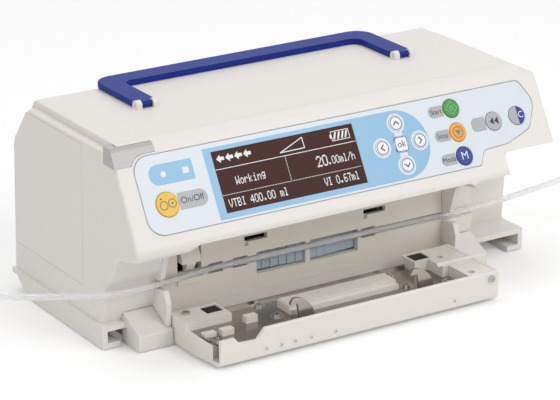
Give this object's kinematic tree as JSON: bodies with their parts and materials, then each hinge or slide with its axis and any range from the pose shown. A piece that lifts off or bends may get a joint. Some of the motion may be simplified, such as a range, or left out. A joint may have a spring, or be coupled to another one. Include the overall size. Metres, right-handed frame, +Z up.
{
  "type": "infusion pump",
  "caption": "Volumetric infusion pump with sloped control panel, fold-down door, finger drive, carry handle and a loaded IV line.",
  "frame": {"origin": "under the middle of the base, on the surface the pump stands on", "axes": "+X to the user's right along the front, +Y from the front to the back, +Z up"},
  "size_m": [0.5446, 0.1958, 0.1395],
  "materials": {
    "case_white": "fine texture, ivory white",
    "door_white": "smooth ivory white",
    "handle_blue": "satin royal blue",
    "membrane": "printed membrane, satin",
    "display": "clear window over the display",
    "lens_grey": "translucent grey",
    "finger_grey": "smooth grey-blue",
    "steel": "stamped stainless",
    "screw_steel": "bright",
    "foam_black": "closed foam",
    "rubber_black": "moulded",
    "line_clear": "clear flexible tube",
    "board_green": "circuit board",
    "battery_blue": "shrink wrap",
    "motor_black": "satin",
    "inlet_black": "moulded",
    "frame_grey": "moulded",
    "key_yellow": "printed",
    "key_green": "printed",
    "key_orange": "printed",
    "key_blue": "printed",
    "key_grey": "printed",
    "key_white": "printed"
  },
  "bodies": {
    "pump_body": {"base_tray": "case_white", "rubber_feet": "rubber_black", "main_case": "case_white", "left_side_cover": "case_white", "top_cover": "case_white", "membrane_overlay": "membrane", "display_window": "display", "lcd_module": "board_green", "alarm_lens": "lens_grey", "front_board": "board_green", "deck_plate": "door_white", "pump_frame": "frame_grey", "stepper_motor": "motor_black", "tube_sensors": "frame_grey", "handle_pins": "screw_steel", "door_hinge_pins": "screw_steel", "battery_pack": "battery_blue", "main_board": "board_green", "power_module": "board_green", "mains_inlet": "inlet_black", "case_screws": "screw_steel", "iv_line_loaded": "line_clear", "iv_line_left": "line_clear", "iv_line_right": "line_clear", "luer_left": "key_white", "luer_right": "key_blue"},
    "door": {"door_shell": "door_white", "door_plate": "steel", "door_screws": "screw_steel", "door_pads": "foam_black", "platen_springs": "steel"},
    "platen": {"platen_bar": "door_white"},
    "latch": {"latch_bar": "steel"},
    "handle": {"carry_handle": "handle_blue"},
    "pinch_clamp": {"pinch_clamp_lever": "door_white"},
    "camshaft": {"camshaft": "steel"},
    "finger_01": {"finger_01": "finger_grey"},
    "finger_02": {"finger_02": "finger_grey"},
    "finger_03": {"finger_03": "finger_grey"},
    "finger_04": {"finger_04": "finger_grey"},
    "finger_05": {"finger_05": "finger_grey"},
    "finger_06": {"finger_06": "finger_grey"},
    "finger_07": {"finger_07": "finger_grey"},
    "finger_08": {"finger_08": "finger_grey"},
    "finger_09": {"finger_09": "finger_grey"},
    "finger_10": {"finger_10": "finger_grey"},
    "finger_11": {"finger_11": "finger_grey"},
    "finger_12": {"finger_12": "finger_grey"},
    "key_power": {"key_power": "key_yellow"},
    "key_start": {"key_start": "key_green"},
    "key_stop": {"key_stop": "key_orange"},
    "key_mode": {"key_mode": "key_blue"},
    "key_purge": {"key_purge": "key_grey"},
    "key_mute": {"key_mute": "key_grey"},
    "key_up": {"key_up": "key_white"},
    "key_down": {"key_down": "key_white"},
    "key_left": {"key_left": "key_white"},
    "key_right": {"key_right": "key_white"},
    "key_ok": {"key_ok": "key_white"}
  },
  "joints": [
    {"name": "door_hinge", "type": "hinge", "parent": "pump_body", "child": "door", "pos_m": [-0.0137, -0.064, 0.01], "axis": [-1, 0, 0], "range_deg": [0, 90]},
    {"name": "platen_press", "type": "slide", "parent": "door", "child": "platen", "axis": [0, 0, -1], "range_m": [0, 0.001], "stiffness_N_per_m": 4000, "springref_m": -0.0005, "deforming": ["platen_springs"]},
    {"name": "latch_slide", "type": "slide", "parent": "door", "child": "latch", "axis": [-1, 0, 0], "range_m": [0, 0.005]},
    {"name": "handle_swing", "type": "hinge", "parent": "pump_body", "child": "handle", "pos_m": [0, -0.001, 0.1363], "axis": [1, 0, 0], "range_deg": [0, 95]},
    {"name": "pinch_clamp_pivot", "type": "hinge", "parent": "pump_body", "child": "pinch_clamp", "pos_m": [-0.0985, -0.0486, 0.062], "axis": [1, 0, 0], "range_deg": [0, 10], "stiffness_Nm_per_rad": 0.2},
    {"name": "camshaft_spin", "type": "hinge", "parent": "pump_body", "child": "camshaft", "pos_m": [-0.01, -0.024, 0.034], "axis": [1, 0, 0], "continuous": true},
    {"name": "finger_01_slide", "type": "slide", "parent": "pump_body", "child": "finger_01", "axis": [0, 1, 0], "range_m": [-0.002, 0]},
    {"name": "finger_02_slide", "type": "slide", "parent": "pump_body", "child": "finger_02", "axis": [0, 1, 0], "range_m": [-0.00187, 0.00013]},
    {"name": "finger_03_slide", "type": "slide", "parent": "pump_body", "child": "finger_03", "axis": [0, 1, 0], "range_m": [-0.0015, 0.0005]},
    {"name": "finger_04_slide", "type": "slide", "parent": "pump_body", "child": "finger_04", "axis": [0, 1, 0], "range_m": [-0.001, 0.001]},
    {"name": "finger_05_slide", "type": "slide", "parent": "pump_body", "child": "finger_05", "axis": [0, 1, 0], "range_m": [-0.0005, 0.0015]},
    {"name": "finger_06_slide", "type": "slide", "parent": "pump_body", "child": "finger_06", "axis": [0, 1, 0], "range_m": [-0.00013, 0.00187]},
    {"name": "finger_07_slide", "type": "slide", "parent": "pump_body", "child": "finger_07", "axis": [0, 1, 0], "range_m": [0, 0.002]},
    {"name": "finger_08_slide", "type": "slide", "parent": "pump_body", "child": "finger_08", "axis": [0, 1, 0], "range_m": [-0.00013, 0.00187]},
    {"name": "finger_09_slide", "type": "slide", "parent": "pump_body", "child": "finger_09", "axis": [0, 1, 0], "range_m": [-0.0005, 0.0015]},
    {"name": "finger_10_slide", "type": "slide", "parent": "pump_body", "child": "finger_10", "axis": [0, 1, 0], "range_m": [-0.001, 0.001]},
    {"name": "finger_11_slide", "type": "slide", "parent": "pump_body", "child": "finger_11", "axis": [0, 1, 0], "range_m": [-0.0015, 0.0005]},
    {"name": "finger_12_slide", "type": "slide", "parent": "pump_body", "child": "finger_12", "axis": [0, 1, 0], "range_m": [-0.00187, 0.00013]},
    {"name": "key_power_press", "type": "slide", "parent": "pump_body", "child": "key_power", "axis": [0, 0.8678, -0.497], "range_m": [0, 0.0005], "stiffness_N_per_m": 800, "springref_m": -0.0005},
    {"name": "key_start_press", "type": "slide", "parent": "pump_body", "child": "key_start", "axis": [0, 0.8678, -0.497], "range_m": [0, 0.0005], "stiffness_N_per_m": 800, "springref_m": -0.0005},
    {"name": "key_stop_press", "type": "slide", "parent": "pump_body", "child": "key_stop", "axis": [0, 0.8678, -0.497], "range_m": [0, 0.0005], "stiffness_N_per_m": 800, "springref_m": -0.0005},
    {"name": "key_mode_press", "type": "slide", "parent": "pump_body", "child": "key_mode", "axis": [0, 0.8678, -0.497], "range_m": [0, 0.0005], "stiffness_N_per_m": 800, "springref_m": -0.0005},
    {"name": "key_purge_press", "type": "slide", "parent": "pump_body", "child": "key_purge", "axis": [0, 0.8678, -0.497], "range_m": [0, 0.0005], "stiffness_N_per_m": 800, "springref_m": -0.0005},
    {"name": "key_mute_press", "type": "slide", "parent": "pump_body", "child": "key_mute", "axis": [0, 0.8678, -0.497], "range_m": [0, 0.0005], "stiffness_N_per_m": 800, "springref_m": -0.0005},
    {"name": "key_up_press", "type": "slide", "parent": "pump_body", "child": "key_up", "axis": [0, 0.8678, -0.497], "range_m": [0, 0.0005], "stiffness_N_per_m": 800, "springref_m": -0.0005},
    {"name": "key_down_press", "type": "slide", "parent": "pump_body", "child": "key_down", "axis": [0, 0.8678, -0.497], "range_m": [0, 0.0005], "stiffness_N_per_m": 800, "springref_m": -0.0005},
    {"name": "key_left_press", "type": "slide", "parent": "pump_body", "child": "key_left", "axis": [0, 0.8678, -0.497], "range_m": [0, 0.0005], "stiffness_N_per_m": 800, "springref_m": -0.0005},
    {"name": "key_right_press", "type": "slide", "parent": "pump_body", "child": "key_right", "axis": [0, 0.8678, -0.497], "range_m": [0, 0.0005], "stiffness_N_per_m": 800, "springref_m": -0.0005},
    {"name": "key_ok_press", "type": "slide", "parent": "pump_body", "child": "key_ok", "axis": [0, 0.8678, -0.497], "range_m": [0, 0.0005], "stiffness_N_per_m": 800, "springref_m": -0.0005}
  ]
}
